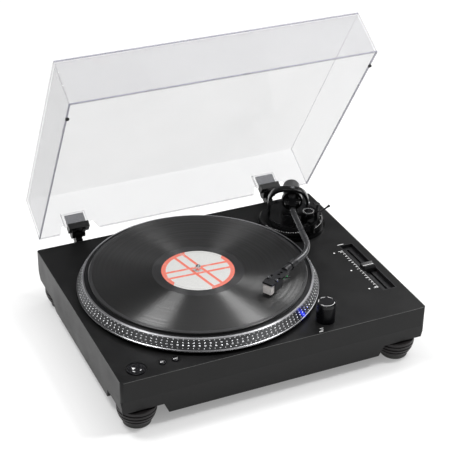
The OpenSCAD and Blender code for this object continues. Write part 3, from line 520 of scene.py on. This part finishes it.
# clear lid
g = Graph("clear_plastic")
facing = g.add("ShaderNodeLayerWeight")
facing.inputs["Blend"].default_value = 0.35
haze = g.noise(6.0, 3.0)
scratch = g.noise(420.0, 5.0, 0.8, vector=g.stretch((1.0, 0.06, 0.3)))
alpha = g.math("ADD", g.remap(facing.outputs["Facing"], 0.0, 1.0, 0.235, 0.20), g.remap(haze, 0.3, 0.7, 0.0, 0.03))
give(g.set(color=g.mix(haze, (0.40, 0.40, 0.415), (0.47, 0.47, 0.485)), rough=g.remap(scratch, 0.4, 0.8, 0.03, 0.09),
           alpha=alpha, ior=1.49, spec=0.3, normal=g.bump(scratch, 0.02, 0.00005)), "lid_shell")
OPEN = math.radians(58.4)
LID = Matrix.Translation(LID_HINGE) @ Matrix.Rotation(-OPEN, 4, "X") @ Matrix.Translation(-LID_HINGE)
tint_g = Graph("lid_edge")
edge_noise = tint_g.noise(30.0, 3.0)
tint = tint_g.set(color=tint_g.mix(edge_noise, (0.20, 0.20, 0.30), (0.34, 0.34, 0.46)), rough=0.12, alpha=0.55, ior=1.49)
W, D, D_FRONT, H = 216.25 * MM, 169.4 * MM, -171.8 * MM, 67.4 * MM
RIM = DECK + 2 * MM
TW = 2.6 * MM


def edge_bar(shape, a, b, t=1.8 * MM):
    a, b = Vector(a), Vector(b)
    d = (b - a).normalized()
    s = d.orthogonal().normalized()
    if abs(d.x) > 0.9:
        s = Vector((0, 1, 0))
    elif abs(d.y) > 0.9:
        s = Vector((1, 0, 0))
    else:
        s = Vector((1, 0, 0))
    q = d.cross(s)
    k = len(shape.v)
    for e in (a, b):
        for i, j in ((-1, -1), (1, -1), (1, 1), (-1, 1)):
            shape.v.append(LID @ (e + s * (i * t / 2) + q * (j * t / 2)))
    shape.f += [(k, k + 1, k + 2, k + 3), (k + 7, k + 6, k + 5, k + 4)]
    for i in range(4):
        j = (i + 1) % 4
        shape.f.append((k + i, k + 4 + i, k + 4 + j, k + j))


xi, yi, yf, zt, zb = W - TW / 2, D - TW / 2, D_FRONT + TW / 2, RIM + H - TW / 2, RIM + TW / 2
e = Shape()
edge_bar(e, (-xi, yf, zt), (xi, yf, zt), 1.5 * MM)
edge_bar(e, (-xi, yf, zb), (xi, yf, zb), 1.3 * MM)
for s in (-1, 1):
    edge_bar(e, (s * xi, yf, zb), (s * xi, yi, zb), 1.8 * MM)
e.make("lid_edges", tint, "lid")
seam_g = Graph("lid_seam")
seam_noise = seam_g.noise(30.0, 3.0)
seam = seam_g.set(color=seam_g.mix(seam_noise, (0.30, 0.30, 0.33), (0.42, 0.42, 0.46)), rough=0.15, alpha=0.16, ior=1.49)
e = Shape()
for s in (-1, 1):
    edge_bar(e, (s * xi, yf, zb), (s * xi, yf, zt), 1.6 * MM)
    edge_bar(e, (s * xi, yi, zb), (s * xi, yi, zt), 1.2 * MM)
    edge_bar(e, (s * xi, yf, zt), (s * xi, yi, zt), 1.2 * MM)
    edge_bar(e, (s * xi, yi, zb), (s * (154 + 31) * MM, yi, zb), 1.2 * MM)
edge_bar(e, (-(154 - 31) * MM, yi, zb), ((154 - 31) * MM, yi, zb), 1.2 * MM)
for s in (-1, 1):
    px0, px1, py, pz0, pz1 = (s * 154 - 18) * MM, (s * 154 + 18) * MM, D + 5.6 * MM, RIM + 14.5 * MM, RIM + 35.5 * MM
    edge_bar(e, (px0, py, pz0), (px0, py, pz1), 0.8 * MM)
    edge_bar(e, (px1, py, pz0), (px1, py, pz1), 0.8 * MM)
    edge_bar(e, (px0, py, pz1), (px1, py, pz1), 0.8 * MM)
e.make("lid_seams", seam, "lid")

# steel plates seen through the hinge pockets
plate_m = plain("hinge_plate", (0.075, 0.08, 0.095), 0.45, metal=0.3, grain=420, bump=0.5, vary=0.4)
pl = Shape()
for s in (-1, 1):
    k = len(pl.v)
    x0, x1 = s * 154 * MM - 13.6 * MM, s * 154 * MM + 13.6 * MM
    y0, y1 = D + 1.85 * MM, D + 4.15 * MM
    z0, z1 = RIM + 15 * MM, RIM + 31.3 * MM
    for z in (z0, z1):
        for c in ((x0, y0), (x1, y0), (x1, y1), (x0, y1)):
            pl.v.append(LID @ Vector((c[0], c[1], z)))
    pl.f += [(k + 3, k + 2, k + 1, k), (k + 4, k + 5, k + 6, k + 7)]
    for i in range(4):
        j = (i + 1) % 4
        pl.f.append((k + i, k + j, k + 4 + j, k + 4 + i))
pl.make("hinge_plates", plate_m, "lid")

# cartridge wires in four colours
g = Graph("wires")
shell = heading(210.5)
across = Vector((-shell.y, shell.x, 0))
dot = g.add("ShaderNodeVectorMath")
dot.operation = "DOT_PRODUCT"
g.link(g.coord, dot.inputs[0])
dot.inputs[1].default_value = tuple(across)
wl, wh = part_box("cartridge_wires")
mid = ((wl + wh) / 2).dot(across)
w = g.math("SUBTRACT", dot.outputs["Value"], mid)
col = g.mix(g.math("GREATER_THAN", w, -0.003), (0.6, 0.03, 0.03), (0.05, 0.2, 0.6))
col = g.mix(g.math("GREATER_THAN", w, 0.0), col, (0.75, 0.75, 0.72))
col = g.mix(g.math("GREATER_THAN", w, 0.003), col, (0.03, 0.35, 0.1))
fine = g.noise(800.0)
give(g.set(color=col, rough=g.remap(fine, 0.3, 0.7, 0.35, 0.5), normal=g.bump(fine, 0.1, 0.0001)), "cartridge_wires")

soften(0.8 * MM, "deck_shell")

# painted highlight: light-grey strips along the deck's top edges stand in for the light the rounded edges catch
painted_edge_highlight = plain("deck_edge", (0.085, 0.085, 0.084), 0.35, grain=1500, bump=0.1, spec=0.5)
deck = NODES["deck_shell"]
rim = [deck.matrix_world @ v.co for v in deck.data.vertices]
rim = [v for v in rim if v.z > DECK - 0.2 * MM]
ex0, ex1 = min(v.x for v in rim), max(v.x for v in rim)
ey0, ey1 = min(v.y for v in rim), max(v.y for v in rim)
round_off = 4 * MM
line = 0.35 * MM
low, high = DECK - 0.4 * MM, DECK + T
m = Shape()
for y in (ey0 + line, ey1 - line):
    m.bar((ex0 + round_off, y), (ex1 - round_off, y), 2 * line, low, high)
for x in (ex0 + line, ex1 - line):
    m.bar((x, ey0 + round_off), (x, ey1 - round_off), 2 * line, low, high)
m.make("deck_edge_painted_highlight", painted_edge_highlight, "plinth")
soften(0.5 * MM, "base_shell", "pitch_cap", "hinge_arms", "hinge_brackets")
soften(0.3 * MM, "headshell", "cartridge", "stylus_holder", "arm_rest", "arm_clip", "lock_lever",
       "gimbal_yoke", "arm_base")

# floor, with a painted contact shadow round the plinth
floor_g = Graph("floor")
fl = floor_g.noise(3.0, 2.0)
fx, fy, _ = floor_g.axes()
off_x = floor_g.math("SUBTRACT", floor_g.math("ABSOLUTE", fx), 0.205)
off_y = floor_g.math("SUBTRACT", floor_g.math("ABSOLUTE", fy), 0.160)
# painted shadow: the floor's glow falls from 0.47 to 0.25 close to the plinth
floor_glow_painted_shadow = floor_g.remap(floor_g.math("MAXIMUM", off_x, off_y), -0.02, 0.05, 0.25, 0.47)
floor_mat = floor_g.set(color=floor_g.mix(fl, 0.50, 0.52), rough=0.7, spec=0.05, emit=(1, 1, 1), glow=floor_glow_painted_shadow)
me = bpy.data.meshes.new("floor")
S = 14.0
me.from_pydata([(-S, -S, 0), (S, -S, 0), (S, S, 0), (-S, S, 0)], [], [(0, 1, 2, 3)])
floor = bpy.data.objects.new("floor", me)
floor.data.materials.append(floor_mat)
bpy.context.scene.collection.objects.link(floor)


# lights
def area(name, where, target, size, watts, color=(1, 1, 1), size_y=None):
    d = bpy.data.lights.new(name, "AREA")
    d.shape = "RECTANGLE"
    d.size = size
    d.size_y = size_y or size
    d.energy = watts
    d.color = color
    o = bpy.data.objects.new(name, d)
    o.location = where
    o.rotation_euler = (Vector(target) - Vector(where)).to_track_quat("-Z", "Y").to_euler()
    bpy.context.scene.collection.objects.link(o)
    return o


side = Vector((right.x, right.y, 0)).normalized()
centre = Vector((0, 0, 0.1))
def aloft(sign, elevation, distance):
    e = math.radians(elevation)
    return centre + side * (sign * distance * math.cos(e)) + Vector((0, 0, distance * math.sin(e)))


area("softbox_left", aloft(-1, 65, 2.5), centre, 0.55, 40, size_y=0.8)
area("softbox_right", aloft(1, 57, 2.5), centre, 0.5, 40, size_y=0.8)
away = Vector((look.x, look.y, 0)).normalized()
area("softbox_top", centre + away * 1.3 + side * 0.9 + Vector((0, 0, 2.4)), centre, 2.0, 20)
area("softbox_back", centre + away * 1.7 + side * 1.5 + Vector((0, 0, 1.5)), centre, 1.2, 14, size_y=0.9)
glow = bpy.data.lights.new("strobe_glow", "SPOT")
glow.energy = 0.011
glow.color = (0.03, 0.05, 1.0)
glow.spot_size = math.radians(95)
glow.shadow_soft_size = 0.003
go = bpy.data.objects.new("strobe_glow", glow)
toward = heading(146)
go.location = Vector((TOWER.x, TOWER.y, DECK + 11 * MM)) + toward * 13.4 * MM
go.rotation_euler = (toward + Vector((0, 0, -0.25))).to_track_quat("-Z", "Y").to_euler()
bpy.context.scene.collection.objects.link(go)
world = bpy.data.worlds.new("studio")
bpy.context.scene.world = world
world.use_nodes = True
sky = world.node_tree
sky_at = sky.nodes.new("ShaderNodeTexCoord")
sky_xyz = sky.nodes.new("ShaderNodeSeparateXYZ")
sky.links.new(sky_at.outputs["Generated"], sky_xyz.inputs[0])
sky_ramp = sky.nodes.new("ShaderNodeValToRGB")
sky.links.new(sky_xyz.outputs[2], sky_ramp.inputs[0])
stops = sky_ramp.color_ramp.elements
stops[0].position, stops[0].color = 0.0, (0.20, 0.20, 0.20, 1)
stops[1].position, stops[1].color = 1.0, (0.62, 0.62, 0.62, 1)
for where, level in ((0.34, 0.24), (0.52, 0.07), (0.72, 0.06), (0.82, 0.55)):
    stops.new(where).color = (level, level, level, 1)
sky.links.new(sky_ramp.outputs[0], sky.nodes["Background"].inputs[0])
sky.nodes["Background"].inputs[1].default_value = 1.0
bpy.context.scene.view_settings.view_transform = "Standard"
